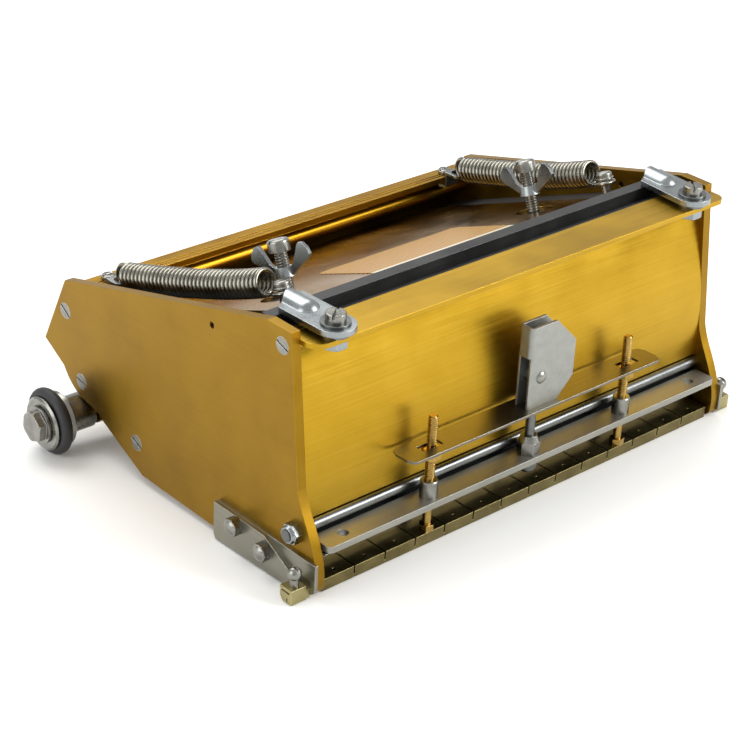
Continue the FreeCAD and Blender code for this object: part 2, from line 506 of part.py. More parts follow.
leaf = box(-LEAF_HALF, LEAF_HALF, ADJ_Y - LEAF_W / 2, ADJ_Y + LEAF_W / 2, LEAF_TOP_Z - LEAF_T, LEAF_TOP_Z)
leaf = leaf.makeFillet(LEAF_CORNER_R, [e for e in leaf.Edges if abs(e.BoundBox.ZLength - LEAF_T) < 1e-6])
for sx in (-1, 1):
    c = sx * (ADJ_X + LEAF_SLOT_LEN / 2 - ADJ_R - 0.4)
    h = (LEAF_SLOT_LEN - LEAF_SLOT_W) / 2
    slot = box(c - h, c + h, ADJ_Y - LEAF_SLOT_W / 2, ADJ_Y + LEAF_SLOT_W / 2, LEAF_TOP_Z - 3, LEAF_TOP_Z + 3)
    for q in (-h, h):
        slot = slot.fuse(cyl(LEAF_SLOT_W / 2, (c + q, ADJ_Y, LEAF_TOP_Z - 3), (0, 0, 1), 6))
    leaf = leaf.cut(slot)
leaf = leaf.cut(cyl(STUD_R + 0.3, (0, ADJ_Y, LEAF_TOP_Z - 3), (0, 0, 1), 6))
add("leaf_spring", leaf)

# ---- centre post, stud with eye, lever -----------------------------------------------------------
post = hexagon(POST_HEX_AF, (0, ADJ_Y, BAR_TOP_Z), (0, 0, 1), POST_HEX_H - 2.6, 10).fuse(
    cone(POST_HEX_AF * 0.52, POST_HEX_AF * 0.38, (0, ADJ_Y, BAR_TOP_Z + POST_HEX_H - 2.6), (0, 0, 1), 3.2))
post = post.cut(cyl(STUD_R, (0, ADJ_Y, BAR_TOP_Z - 1), (0, 0, 1), 20)).removeSplitter()
add("hex_post", post)
under = BAR_TOP_Z - FLAT_T
stud = cyl(STUD_R, (0, ADJ_Y, under - 1), (0, 0, 1), PIVOT_Z - under)
stud = stud.fuse(cyl(EYE_R, (0, ADJ_Y - 2.5, PIVOT_Z), (0, 1, 0), 5.0))
foot_z = under - STUD_FOOT_H
foot_ball = Part.makeSphere(STUD_FOOT_R, V(0, ADJ_Y, foot_z)).common(
    box(-STUD_FOOT_R, STUD_FOOT_R, ADJ_Y - STUD_FOOT_R, ADJ_Y + STUD_FOOT_R, foot_z - STUD_FOOT_R * 0.8, foot_z))
stud = stud.fuse(cyl(STUD_FOOT_R, (0, ADJ_Y, foot_z), (0, 0, 1), STUD_FOOT_H)).fuse(foot_ball)
stud = stud.cut(cyl(PIN_R, (0, ADJ_Y - 4, PIVOT_Z), (0, 1, 0), 8)).removeSplitter()
add("lever_stud", stud)


def cam_points():
    # corners where neighbouring flats meet; flat i faces down turned by 45 degrees times i
    def corner(a, da, b, db):
        ca, sa, cb, sb = math.cos(a), math.sin(a), math.cos(b), math.sin(b)
        det = ca * sb - sa * cb
        return ((da * sb - sa * db) / det, (ca * db - da * cb) / det)
    ang = [math.radians(-90 + 45 * i) for i in range(5)]
    pts = [(-LEVER_BACK_X, -CAM[0])]
    for i in range(4):
        pts.append(corner(ang[i], CAM[i], ang[i + 1], CAM[i + 1]))
    pts.append((-LEVER_BACK_X, CAM[4]))
    return pts


outer = prism_y([(x, z + PIVOT_Z) for x, z in cam_points()], ADJ_Y - LEVER_W / 2, ADJ_Y + LEVER_W / 2)
bend_edges = [e for e in outer.Edges if abs(e.BoundBox.XMax + LEVER_BACK_X) < 1e-6
              and e.BoundBox.XLength < 1e-6 and e.BoundBox.YLength < 1e-6]
outer = outer.makeFillet(LEVER_BEND, bend_edges)
inner = box(-LEVER_BACK_X + LEVER_T, 60, ADJ_Y - LEVER_W / 2 + LEVER_T, ADJ_Y + LEVER_W / 2 - LEVER_T,
            PIVOT_Z - 60, PIVOT_Z + 60)
lever = outer.cut(inner)
lever = lever.cut(box(-LEVER_BACK_X - 1, -LEVER_BACK_X + 3.2, ADJ_Y - LEVER_W / 2 + LEVER_T,
                      ADJ_Y + LEVER_W / 2 - LEVER_T, PIVOT_Z - 60, PIVOT_Z + WEB_FROM_PIVOT))
lever = lever.cut(box(-LEVER_BACK_X - 1, -LEVER_BACK_X + 1.0, ADJ_Y - LEVER_W, ADJ_Y + LEVER_W,
                      PIVOT_Z - 60, PIVOT_Z + WEB_FROM_PIVOT))
lever = lever.cut(cyl(PIN_R + RUN_FIT, (0, ADJ_Y - 20, PIVOT_Z), (0, 1, 0), 40)).removeSplitter()
add("crown_lever", lever)
half_pin = LEVER_W / 2 + PIN_PLAY
pin = cyl(PIN_R, (0, ADJ_Y - half_pin - 0.2, PIVOT_Z), (0, 1, 0), 2 * half_pin + 0.4)
rd = (PIN_HEAD_R ** 2 + PIN_HEAD_H ** 2) / (2 * PIN_HEAD_H)
for sy in (-1, 1):
    yb = ADJ_Y + sy * half_pin
    dome = Part.makeSphere(rd, V(0, yb + sy * (PIN_HEAD_H - rd), PIVOT_Z))
    y0, y1 = sorted((yb, yb + sy * 5))
    pin = pin.fuse(dome.common(box(-9, 9, y0, y1, PIVOT_Z - 9, PIVOT_Z + 9)))
add("lever_pin", pin.removeSplitter())

# ---- skids ---------------------------------------------------------------------------------------
SX0, SX1 = XO, XO + SKID_T
SX2 = SX1 + STRIP_T
tail = [(SKID_BACK_Y, SKID_TOP_Z), (SKID_BACK_Y, SKID_LOW_BACK + 2.2), (SKID_BACK_Y - 1.2, SKID_LOW_BACK)]
skid = prism_x([(SKID_FRONT_Y, SKID_LOW_FRONT + 3.6), (SKID_FRONT_Y, SKID_TOP_Z)] + tail + [(1.6, SKID_LOW_FRONT)],
               SX0, SX1)
strip = prism_x(tail + [(BLOCK_Y - 1.6, SKID_LOW_FRONT), (BLOCK_Y - 1.6, 10.6), (29.0, SKID_TOP_Z)], SX1, SX2)
for yz in SKID_BOLTS:
    skid = skid.cut(cyl(SKID_BOLT_R, (SX0 - 1, *yz), (1, 0, 0), 12))
    strip = strip.cut(cyl(SKID_BOLT_R, (SX0 - 1, *yz), (1, 0, 0), 12))
add("skid_plate_right", skid)
add("skid_plate_left", mirror(skid))
add("skid_strip_right", strip)
add("skid_strip_left", mirror(strip))
bolts = []
for i, yz in enumerate(SKID_BOLTS):
    hd = hex_chamfered(SKID_BOLT_AF, (SX2, *yz), (1, 0, 0), SKID_BOLT_H, 15 + 12 * i)
    dome = Part.makeSphere(0.7 * SKID_BOLT_AF, V(SX2 + SKID_BOLT_H - 0.52 * SKID_BOLT_AF, *yz)).common(
        box(SX2 + SKID_BOLT_H - 0.4, SX2 + 9, yz[0] - 9, yz[0] + 9, yz[1] - 9, yz[1] + 9))
    bolts.append(hd.fuse(dome).fuse(cyl(SKID_BOLT_R, (XI + 0.3, *yz), (1, 0, 0), SX2 - XI)).removeSplitter())
add("skid_bolts", *(bolts + [mirror(b) for b in bolts]))

BX0, BX1 = SX2, SX2 + BLOCK_X
BY0, BY1 = -0.4, BLOCK_Y - 0.4
BZ0, BZ1 = SHOE_BOTTOM_Z, SHOE_BOTTOM_Z + BLOCK_Z
tab = box(SX1, BX0, BY0, BLOCK_Y - 1.6, BZ0 + 0.4, BZ0 + 5.2)
blk = prism_x([(BY0, BZ0), (BY1 - 2.0, BZ0), (BY1 - 0.3, BZ0 + 2.0), (BY1, BZ1), (BY0, BZ1)], BX0, BX1).fuse(tab)
blk = blk.cut(box(BX1 - 2.4, BX1 + 1, BY0 + 1.4, BY1 + 1, BZ1 - 2.3, BZ1 - 1.3))
blk = blk.cut(box(BX0 + 3.0, BX1 + 1, BY0 + 2.6, BY0 + 3.3, BZ0 - 1, BZ0 + 2.6))
BCX, BCY = BX0 + BLOCK_X / 2, BY0 + BLOCK_Y * 0.42
blk = blk.cut(cyl(BALL_NECK_R, (BCX, BCY, BZ0 + 3.4), (0, 0, 1), 9)).removeSplitter()
add("skid_block_right", blk)
add("skid_block_left", mirror(blk))
BALL_Z = BZ1 + BALL_RISE
ball = Part.makeSphere(BALL_R, V(BCX, BCY, BALL_Z)).fuse(
    cyl(BALL_NECK_R, (BCX, BCY, BZ0 + 3.4), (0, 0, 1), BALL_Z - BZ0 - 3.4))
ball = ball.cut(box(BCX - 0.5, BCX + 0.5, BCY - 4, BCY + 4, BALL_Z + BALL_R - 1.4, BALL_Z + BALL_R + 1)).removeSplitter()
add("skid_screws", ball, mirror(ball))

# ---- axle and wheels -----------------------------------------------------------------------------
HX1 = WHEEL_OUT_X
HX0 = HX1 - HUB_W


def floor_under(y):
    # underside of the floor sheet at y, between the mid and rear ports
    (y0, z0), (y1, z1) = PORTS["mid"], PORTS["rear"]
    c = math.hypot(y1 - y0, z1 - z0) / (y1 - y0)
    return z0 + (z1 - z0) * (y - y0) / (y1 - y0) - FLOOR_T / 2 * c


bracket = prism_x([(AXLE_Y - 22, floor_under(AXLE_Y - 22)), (AXLE_Y - 22, floor_under(AXLE_Y - 22) - 3.4),
                   (AXLE_Y - 7.2, AXLE_Z - 5.4), (AXLE_Y + 4, AXLE_Z - 7.0), (AXLE_Y + 7.2, AXLE_Z),
                   (AXLE_Y + 7.2, AXLE_Z + 6), (PORTS["rear"][0] - 2, floor_under(PORTS["rear"][0] - 2))],
                  XI - SLEEVE_INSET - 12.0, XI - SLEEVE_INSET)
bracket = bracket.cut(cyl(4.4, (-XI, *PORTS["rear"]), (1, 0, 0), BOX_WIDTH * 2))
bracket = bracket.cut(cyl(AXLE_R, (XI - 20, AXLE_Y, AXLE_Z), (1, 0, 0), 40))
add("axle_brackets", bracket, mirror(bracket))
sleeve_x = XI - SLEEVE_INSET
sleeve = cyl(SLEEVE_R, (sleeve_x, AXLE_Y, AXLE_Z), (1, 0, 0), HX0 - HUB_GAP - sleeve_x)
sleeve = sleeve.makeChamfer(1.4, [e for e in sleeve.Edges if e.BoundBox.XMax < sleeve_x + 0.01])
sleeve = sleeve.cut(cyl(AXLE_R, (sleeve_x - 1, AXLE_Y, AXLE_Z), (1, 0, 0), 60))
add("axle_sleeves", sleeve, mirror(sleeve))
ax_end = HX0 - HUB_GAP
axle = cyl(AXLE_R, (-ax_end, AXLE_Y, AXLE_Z), (1, 0, 0), 2 * ax_end)
for sx in (-1, 1):
    axle = axle.cut(cyl(BOLT_THREAD_R, (sx * ax_end, AXLE_Y, AXLE_Z), (-sx, 0, 0), BOLT_THREAD_LEN))
add("axle", axle)
wb = cyl(BOLT_THREAD_R, (ax_end - BOLT_THREAD_LEN, AXLE_Y, AXLE_Z), (1, 0, 0), BOLT_THREAD_LEN + 1).fuse(
    cyl(SHAFT_R, (ax_end, AXLE_Y, AXLE_Z), (1, 0, 0), HX1 + HUB_GAP - ax_end)).fuse(
    cyl(BOLT_FLANGE_R, (HX1 + HUB_GAP, AXLE_Y, AXLE_Z), (1, 0, 0), BOLT_FLANGE_T)).fuse(
    hex_chamfered(BOLT_AF, (HX1 + HUB_GAP + BOLT_FLANGE_T, AXLE_Y, AXLE_Z), (1, 0, 0), BOLT_H, 8)).removeSplitter()
add("wheel_bolts", wb, mirror(wb))


TYRE_X = HX1 - TYRE_FROM_FACE
GROOVE_R = CORD_R * 1.02


def hub(side):
    # turned hub with a half round groove for the tyre
    prof = [(HX0, SHAFT_R + RUN_FIT), (HX0, HUB_R - 1.0), (HX0 + 1.0, HUB_R)]
    steps = 10
    for i in range(steps + 1):
        a = math.pi * i / steps
        x, radius = TYRE_X - GROOVE_R * math.cos(a), TYRE_R - CORD_R - GROOVE_R * math.sin(a)
        if radius < HUB_R:
            prof.append((x, radius))
    prof += [(HX1 - 1.0, HUB_R), (HX1, HUB_R - 1.0), (HX1, SHAFT_R + RUN_FIT)]
    pts = [V(x, AXLE_Y + radius, AXLE_Z) for x, radius in prof]
    s = Part.Face(Part.makePolygon(pts + [pts[0]])).revolve(V(0, AXLE_Y, AXLE_Z), XAX, 360)
    return s if side > 0 else mirror(s)


for name, side in (("right", 1), ("left", -1)):
    add("wheel_hub_" + name, hub(side))
    tor = Part.makeTorus(TYRE_R - CORD_R, CORD_R, V(side * TYRE_X, AXLE_Y, AXLE_Z), XAX)
    add("tyre_" + name, tor.cut(hub(side)))

# ---- latches -------------------------------------------------------------------------------------
LATCH_Z0 = LIP_TOP_Z + SPACERS_UNDER * WASHER_T
LATCH_Z1 = LATCH_Z0 + LATCH_T


def latch(side, turn):
    w = LATCH_W / 2
    plate = prism_z([(-w, 0), (w, 0), (w, LATCH_REACH), (-w + LATCH_CHAMFER_X, LATCH_REACH),
                     (-w, LATCH_REACH - LATCH_CHAMFER_Y)], LATCH_Z0, LATCH_Z1)
    plate = plate.fuse(cyl(w, (0, 0, LATCH_Z0), (0, 0, 1), LATCH_T))
    zc = LATCH_Z1 - RIDGE_SINK
    y0 = RIDGE_START + RIDGE_R
    above = prism_z([(-w, 0), (w, 0), (w, LATCH_REACH), (-w + LATCH_CHAMFER_X, LATCH_REACH),
                     (-w, LATCH_REACH - LATCH_CHAMFER_Y)], LATCH_Z1 - 0.01, LATCH_Z1 + RIDGE_R)

    def bullet(radius):
        return cyl(radius, (RIDGE_X, y0, zc), (0, 1, 0), LATCH_REACH - y0 + 1).fuse(
            Part.makeSphere(radius, V(RIDGE_X, y0, zc)))

    plate = plate.fuse(bullet(RIDGE_R).common(above)).cut(bullet(RIDGE_IN_R))
    plate = plate.cut(cyl(LATCH_SCREW_R + RUN_FIT, (0, 0, LATCH_Z0 - 1), (0, 0, 1), 30)).removeSplitter()
    plate.rotate(V(0, 0, 0), ZAX, turn)
    plate.translate(V(side * LATCH_X, LATCH_Y, 0))
    return plate


add("latch_left", latch(-1, LATCH_TURN_L))
add("latch_right", latch(1, LATCH_TURN_R))


def washer(z):
    return cyl(WASHER_R, (LATCH_X, LATCH_Y, z), (0, 0, 1), WASHER_T).cut(
        cyl(LATCH_SCREW_R, (LATCH_X, LATCH_Y, z - 1), (0, 0, 1), 9))


washers = [washer(LIP_TOP_Z), washer(LIP_TOP_Z + WASHER_T), washer(LATCH_Z1 + 0.05)]
add("latch_washers", *(washers + [mirror(w) for w in washers]))
head_z = LATCH_Z1 + 0.05 + WASHER_T
ls = cyl(LATCH_SCREW_R, (LATCH_X, LATCH_Y, LIP_TOP_Z - SHEET_T - 4.4), (0, 0, 1), head_z - LIP_TOP_Z + SHEET_T + 4.4)
lh = cyl(LATCH_HEAD_R, (LATCH_X, LATCH_Y, head_z), (0, 0, 1), LATCH_HEAD_H)
lh = lh.makeFillet(0.5, [e for e in lh.Edges if e.BoundBox.ZMin > head_z + LATCH_HEAD_H - 0.01])
ls = ls.fuse(lh)


def slotted(screw, turn):
    # screwdriver slot across the head of a latch screw
    slot = Part.makeBox(12, 1.4, 3, V(-6, -0.7, head_z + LATCH_HEAD_H - 2.2))
    slot.rotate(V(0, 0, 0), ZAX, turn)
    slot.translate(V(screw.BoundBox.Center.x, LATCH_Y, 0))
    return screw.cut(slot).removeSplitter()


add("latch_screws", slotted(ls, LATCH_SLOT_R), slotted(mirror(ls), LATCH_SLOT_L))
ln = hex_chamfered(10.0, (LATCH_X, LATCH_Y, LIP_TOP_Z - SHEET_T), (0, 0, -1), 3.8).cut(
    cyl(LATCH_SCREW_R, (LATCH_X, LATCH_Y, LIP_TOP_Z), (0, 0, -1), 20))
add("latch_nuts", ln, mirror(ln))

# ---- door ----------------------------------------------------------------------------------------
GX = XI - DOOR_GAP
GASKET_BACK = KNUCKLE_R + 2.2
BAR_TOP = LATCH_Z0 - LATCH_GAP
s_bar = GASKET_TIP - BAR_SETBACK
bar_front_y = door_point(0, s_bar, N_DOOR).y
s_plate_front = s_bar - BAR_W / math.cos(math.radians(DOOR_SLOPE)) - 0.6

gasket = box(-GX, GX, -GASKET_TIP, -GASKET_BACK, N_GASKET, N_DOOR)
backing = box(-GX + 4, GX - 4, -(GASKET_TIP - 5.0), -2.0, N_BACKING, N_GASKET)
for x0 in (-0.86 * XI, -0.2 * XI, 0.62 * XI):
    w = 0.24 * XI if x0 < -0.5 * XI or x0 > 0 else 0.4 * XI
    backing = backing.fuse(cyl(KNUCKLE_R, (x0, 0, 0), (1, 0, 0), w))
    backing = backing.fuse(box(x0, x0 + w, -7.0, -2.0, 0.4, N_BACKING + 0.1))
backing = backing.removeSplitter().cut(cyl(ROD_R + RUN_FIT, (-XI, 0, 0), (1, 0, 0), BOX_WIDTH))
gold = box(-XI + DOOR_PLATE_SIDE, XI - DOOR_PLATE_SIDE, -s_plate_front, -DOOR_PLATE_BACK, N_DOOR, N_TOP)
DHOLE_X, DHOLE_S = DSCREW_X + 3.2, DSCREW_S - 3.0
for sx in (-1, 1):
    gold = gold.cut(cyl(DOOR_HOLE_R, (sx * DHOLE_X, -DHOLE_S, N_DOOR - 1), (0, 0, 1), 9))
    gold = gold.cut(cyl(POST_BASE_R + 0.8, (sx * SPRING_FRONT_X, -POST_S, N_DOOR - 1), (0, 0, 1), 9))
    for radius, x, along in ((DSCREW_R, DSCREW_X, DSCREW_S), (POST_R, SPRING_FRONT_X, POST_S)):
        hole = cyl(radius, (sx * x, -along, N_BACKING - 1), (0, 0, 1), 9)
        gasket = gasket.cut(hole)
        backing = backing.cut(hole)
add("door_gasket", to_door(gasket))
add("door_backing", to_door(backing))
add("door_plate", to_door(gold.removeSplitter()))
lab_s = 111.5 * KY
label = box(-LABEL_W / 2 + 3.8, LABEL_W / 2 + 3.8, -lab_s - LABEL_D / 2, -lab_s + LABEL_D / 2, N_TOP, N_TOP + LABEL_T)
label = label.makeFillet(4.0, [e for e in label.Edges if abs(e.BoundBox.ZLength - LABEL_T) < 1e-6])
add("door_label", to_door(label))
# front bar: upright faces, standing on the gasket
fb = prism_x([(bar_front_y, BAR_TOP), (bar_front_y, HINGE_Z), (bar_front_y + BAR_W, HINGE_Z),
              (bar_front_y + BAR_W, BAR_TOP)], -GX + 0.3, GX - 0.3)
under_cut = to_door(box(-XI * 2, XI * 2, -400, 100, -400, N_DOOR))
fb = fb.cut(under_cut).cut(parts["door_plate"][0])
add("door_front_bar", fb)

dscrew = cyl(DSCREW_R, (DSCREW_X, -DSCREW_S, N_BACKING - 5.0), (0, 0, 1), N_TOP + DSCREW_UNDER_HEAD - N_BACKING + 5.0)
dh = cyl(DHEAD_R, (DSCREW_X, -DSCREW_S, N_TOP + DSCREW_UNDER_HEAD), (0, 0, 1), DHEAD_H)
dh = dh.makeFillet(1.5, [e for e in dh.Edges if e.BoundBox.ZMin > N_TOP + DSCREW_UNDER_HEAD + DHEAD_H - 0.01])
dh = dh.cut(box(DSCREW_X - 9, DSCREW_X + 9, -DSCREW_S - 0.65, -DSCREW_S + 0.65, N_TOP + DSCREW_UNDER_HEAD
                + DHEAD_H - 1.8, 99))
dscrew = dscrew.fuse(dh).removeSplitter()
dnut = hexagon(10.0, (DSCREW_X, -DSCREW_S, N_BACKING), (0, 0, -1), 4.4).cut(
    cyl(DSCREW_R, (DSCREW_X, -DSCREW_S, N_BACKING + 1), (0, 0, -1), 20))
add("door_screws", to_door(dscrew), to_door(mirror(dscrew)))
add("door_nuts", to_door(dnut), to_door(mirror(dnut)))

spost = cyl(POST_R, (SPRING_FRONT_X, -POST_S, N_BACKING - 4.4), (0, 0, 1), POST_HOOK_N + 2.4 - N_BACKING + 4.4)
spost = spost.fuse(cyl(POST_BASE_R, (SPRING_FRONT_X, -POST_S, N_DOOR), (0, 0, 1), 1.4))
spost = spost.fuse(cyl(POST_COLLAR_R, (SPRING_FRONT_X, -POST_S, POST_HOOK_N + 1.6), (0, 0, 1), 0.9))
sph = cyl(POST_HEAD_R, (SPRING_FRONT_X, -POST_S, POST_HOOK_N + 2.4), (0, 0, 1), 3.0)
sph = sph.makeFillet(1.2, [e for e in sph.Edges if e.BoundBox.ZMin > POST_HOOK_N + 5.39])
spost = spost.fuse(sph).fuse(hexagon(8.0, (SPRING_FRONT_X, -POST_S, N_BACKING), (0, 0, -1), 3.4)).removeSplitter()
add("spring_posts", to_door(spost), to_door(mirror(spost)))


def wing_nut(side, turn):
    z0 = N_TOP + WING_FROM_PLATE
    hubs = cone(WING_HUB_R, WING_HUB_R * 0.84, (0, 0, z0), (0, 0, 1), WING_HUB_H)
    half = WING_SPAN / 2
    wing = prism_y([(2.4, z0 + 0.4), (WING_HUB_R, z0 + 0.6), (half - 0.6, z0 + WING_RISE * 0.52),
                    (half, z0 + WING_RISE * 0.62), (half - 1.0, z0 + WING_RISE * 0.82),
                    (half - 3.0, z0 + WING_RISE * 0.97), (half - 5.0, z0 + WING_RISE), (half - 6.2, z0 + WING_RISE * 0.92),
                    (WING_HUB_R + 1.8, z0 + WING_HUB_H + 1.6), (WING_HUB_R, z0 + WING_HUB_H + 0.2),
                    (3.0, z0 + WING_HUB_H)], -WING_T / 2, WING_T / 2)
    s = hubs.fuse(wing).fuse(mirror(wing))
    s = s.cut(cyl(DSCREW_R + RUN_FIT, (0, 0, z0 - 1), (0, 0, 1), 30)).removeSplitter()
    s.rotate(V(0, 0, 0), ZAX, turn)
    s.translate(V(side * DSCREW_X, -DSCREW_S, 0))
    return to_door(s)


add("wing_nut_left", wing_nut(-1, -76))
add("wing_nut_right", wing_nut(1, -85))


# ---- door springs --------------------------------------------------------------------------------
BACK_RISE, BACK_STEP = 4.3, 6.8      # back end of the coil above and in front of the hook hole
FRONT_RISE, FRONT_STEP = 4.8, 8.9    # front end of the coil above and behind the post
SPRING_SPLAY = 1.3


def wire(points):
    # round wire along a smooth curve through the points
    path = Part.BSplineCurve()
    path.interpolate(points)
    start = path.tangent(path.FirstParameter)[0]
    section = Part.Wire([Part.makeCircle(WIRE_R, points[0], start)])
    return Part.Wire([path.toShape()]).makePipeShell([section], True, True)


def spring():
    back = V(SPRING_BACK_X, HOOK_Y - BACK_STEP, HOOK_Z + BACK_RISE)
    front = door_point(SPRING_FRONT_X + SPRING_SPLAY, POST_S - FRONT_STEP, POST_HOOK_N + FRONT_RISE)
    axis = front - back
    length = axis.Length
    axis.normalize()
    level = XAX - axis * XAX.dot(axis)
    level.normalize()
    rise = axis.cross(level)
    # close wound body, turned with one groove between neighbouring coils
    pitch = length / SPRING_COILS
    profile = [V(SPRING_R - 2 * WIRE_R, 0, 0)]
    for i in range(SPRING_COILS):
        mid = (i + 0.5) * pitch
        profile += [V(SPRING_R - 0.75, 0, mid - pitch / 2), V(SPRING_R - 0.12, 0, mid - pitch / 4), V(SPRING_R, 0, mid),
                    V(SPRING_R - 0.12, 0, mid + pitch / 4)]
    profile += [V(SPRING_R - 0.75, 0, length), V(SPRING_R - 2 * WIRE_R, 0, length)]
    body = Part.Face(Part.makePolygon(profile + [profile[0]])).revolve(V(0, 0, 0), ZAX, 360)
    body.Placement = FreeCAD.Placement(FreeCAD.Matrix(
        level.x, rise.x, axis.x, back.x, level.y, rise.y, axis.y, back.y, level.z, rise.z, axis.z, back.z, 0, 0, 0, 1))
    # back loop, through the hole of the lug and up, in the plane of the axis
    centre = back - axis * 2.2
    loop = []
    for turn in (-100, -70, -35, 0, 35, 70, 95):
        a = math.radians(turn)
        loop.append(centre - axis * (LOOP_R * math.cos(a)) + rise * (LOOP_R * math.sin(a)))
    # front hook, off the lowest point of the last coil and round the post
    post_r = POST_R + WIRE_R + 0.2

    def round_post(along, aside):
        return door_point(SPRING_FRONT_X + aside * post_r, POST_S + along * post_r, POST_HOOK_N)

    low = front - rise * (SPRING_R - WIRE_R)
    hook = [low - axis * 1.0, low + axis * 1.6, round_post(-0.75, 1.0), round_post(0.3, 1.15), round_post(1.15, 0.3),
            round_post(1.0, -0.75), round_post(0.0, -1.15)]
    return body.fuse(wire(loop)).fuse(wire(hook))


spr = spring()
add("door_spring_right", spr)
add("door_spring_left", mirror(spr))

# ---- stand on the floor: wheels and shoe down, centred -------------------------------------------
wheel_low = AXLE_Z - TYRE_R
REST_TILT = math.degrees(math.atan2(SHOE_BOTTOM_Z - wheel_low, AXLE_Y - BY0))


def low_of(y, z):
    a = math.radians(REST_TILT)
    return y * math.sin(a) + z * math.cos(a)


a = math.radians(REST_TILT)
FLOOR_Z = min(low_of(AXLE_Y, AXLE_Z) - TYRE_R, low_of(BY0, SHOE_BOTTOM_Z))
y_back = B_BACK[0] * math.cos(a) - B_BACK[1] * math.sin(a)
y_front = (ADJ_Y - LEAF_W / 2) * math.cos(a) - LEAF_TOP_Z * math.sin(a)
Y_MID = (y_back + y_front) / 2.0

for name in sorted(parts):
    solids = []
    for s in parts[name]:
        s = s.copy()
        s.rotate(V(0, 0, 0), XAX, REST_TILT)
        s.translate(V(0, -Y_MID, -FLOOR_Z))
        solids += s.Solids
    out = solids[0] if len(solids) == 1 else Part.makeCompound(solids)
    out.exportStep("parts/" + name + ".step")
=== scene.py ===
# %% [markdown]
# A ten inch finishing box for drywall compound: a gold anodised trough on two wheels, with a sprung
# door on top, a brass shoe along its front edge and a small lever that bows the shoe. The metal parts
# come from the imported CAD model. This notebook gives each of them its finish, and adds what is easier
# to make in Blender: wire springs, screw threads and a leaf spring in two halves.

# %% Load the frame and keep its box
import json
import math

import bmesh
import bpy
from mathutils import Matrix, Vector


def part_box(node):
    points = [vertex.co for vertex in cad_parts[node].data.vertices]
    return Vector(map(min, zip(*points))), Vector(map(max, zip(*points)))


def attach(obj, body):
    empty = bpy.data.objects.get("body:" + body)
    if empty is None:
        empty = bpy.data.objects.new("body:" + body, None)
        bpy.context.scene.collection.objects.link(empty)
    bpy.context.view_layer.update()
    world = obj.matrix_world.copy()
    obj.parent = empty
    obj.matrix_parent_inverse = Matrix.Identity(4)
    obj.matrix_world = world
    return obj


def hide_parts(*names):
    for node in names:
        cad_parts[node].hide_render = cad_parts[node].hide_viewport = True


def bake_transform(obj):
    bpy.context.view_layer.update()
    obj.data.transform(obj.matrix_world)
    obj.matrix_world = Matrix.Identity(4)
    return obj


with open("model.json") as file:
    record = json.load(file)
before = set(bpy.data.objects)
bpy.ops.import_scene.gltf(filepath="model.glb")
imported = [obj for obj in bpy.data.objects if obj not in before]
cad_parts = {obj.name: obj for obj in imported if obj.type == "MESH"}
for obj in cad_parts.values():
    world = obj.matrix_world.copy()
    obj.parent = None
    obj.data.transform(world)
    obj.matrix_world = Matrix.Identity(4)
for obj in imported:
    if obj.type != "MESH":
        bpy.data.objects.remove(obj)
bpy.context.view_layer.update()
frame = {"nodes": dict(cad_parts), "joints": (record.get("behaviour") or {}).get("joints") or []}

MM = 0.001
nodes = frame["nodes"]
joints = {j["name"]: j for j in frame["joints"]}
print("nodes:", len(nodes), "joints:", sorted(joints))

# %% [markdown]
# Two small helpers carry every material. A hex colour is what a paint chart gives, and Blender wants
# linear light, so one function turns it. The other adds a node, sets its values and links its inputs.


# %% Colour and node helpers
def linear(code):
    channels = [int(code[i:i + 2], 16) / 255 for i in (1, 3, 5)]
    return tuple(c / 12.92 if c <= 0.04045 else ((c + 0.055) / 1.055) ** 2.4 for c in channels) + (1.0,)


def add(material, kind, settings=None, links=None):
    node = material.node_tree.nodes.new(kind)
    for name, value in (settings or {}).items():
        if name in node.inputs:
            node.inputs[name].default_value = value
        else:
            setattr(node, name, value)
    for name, socket in (links or {}).items():
        material.node_tree.links.new(socket, node.inputs[name])
    return node


# %% [markdown]
# Machined metal is never one even value. Each finish below shares a recipe: long thin noise for the
# marks that a brush or a rolling mill leaves, a soft cloud for handling and uneven anodising, and a
# rounded edge read by a Bevel node, so that each corner catches light as a deburred edge does. The
# grain's two scales are lengths in millimetres, along and across the strokes.


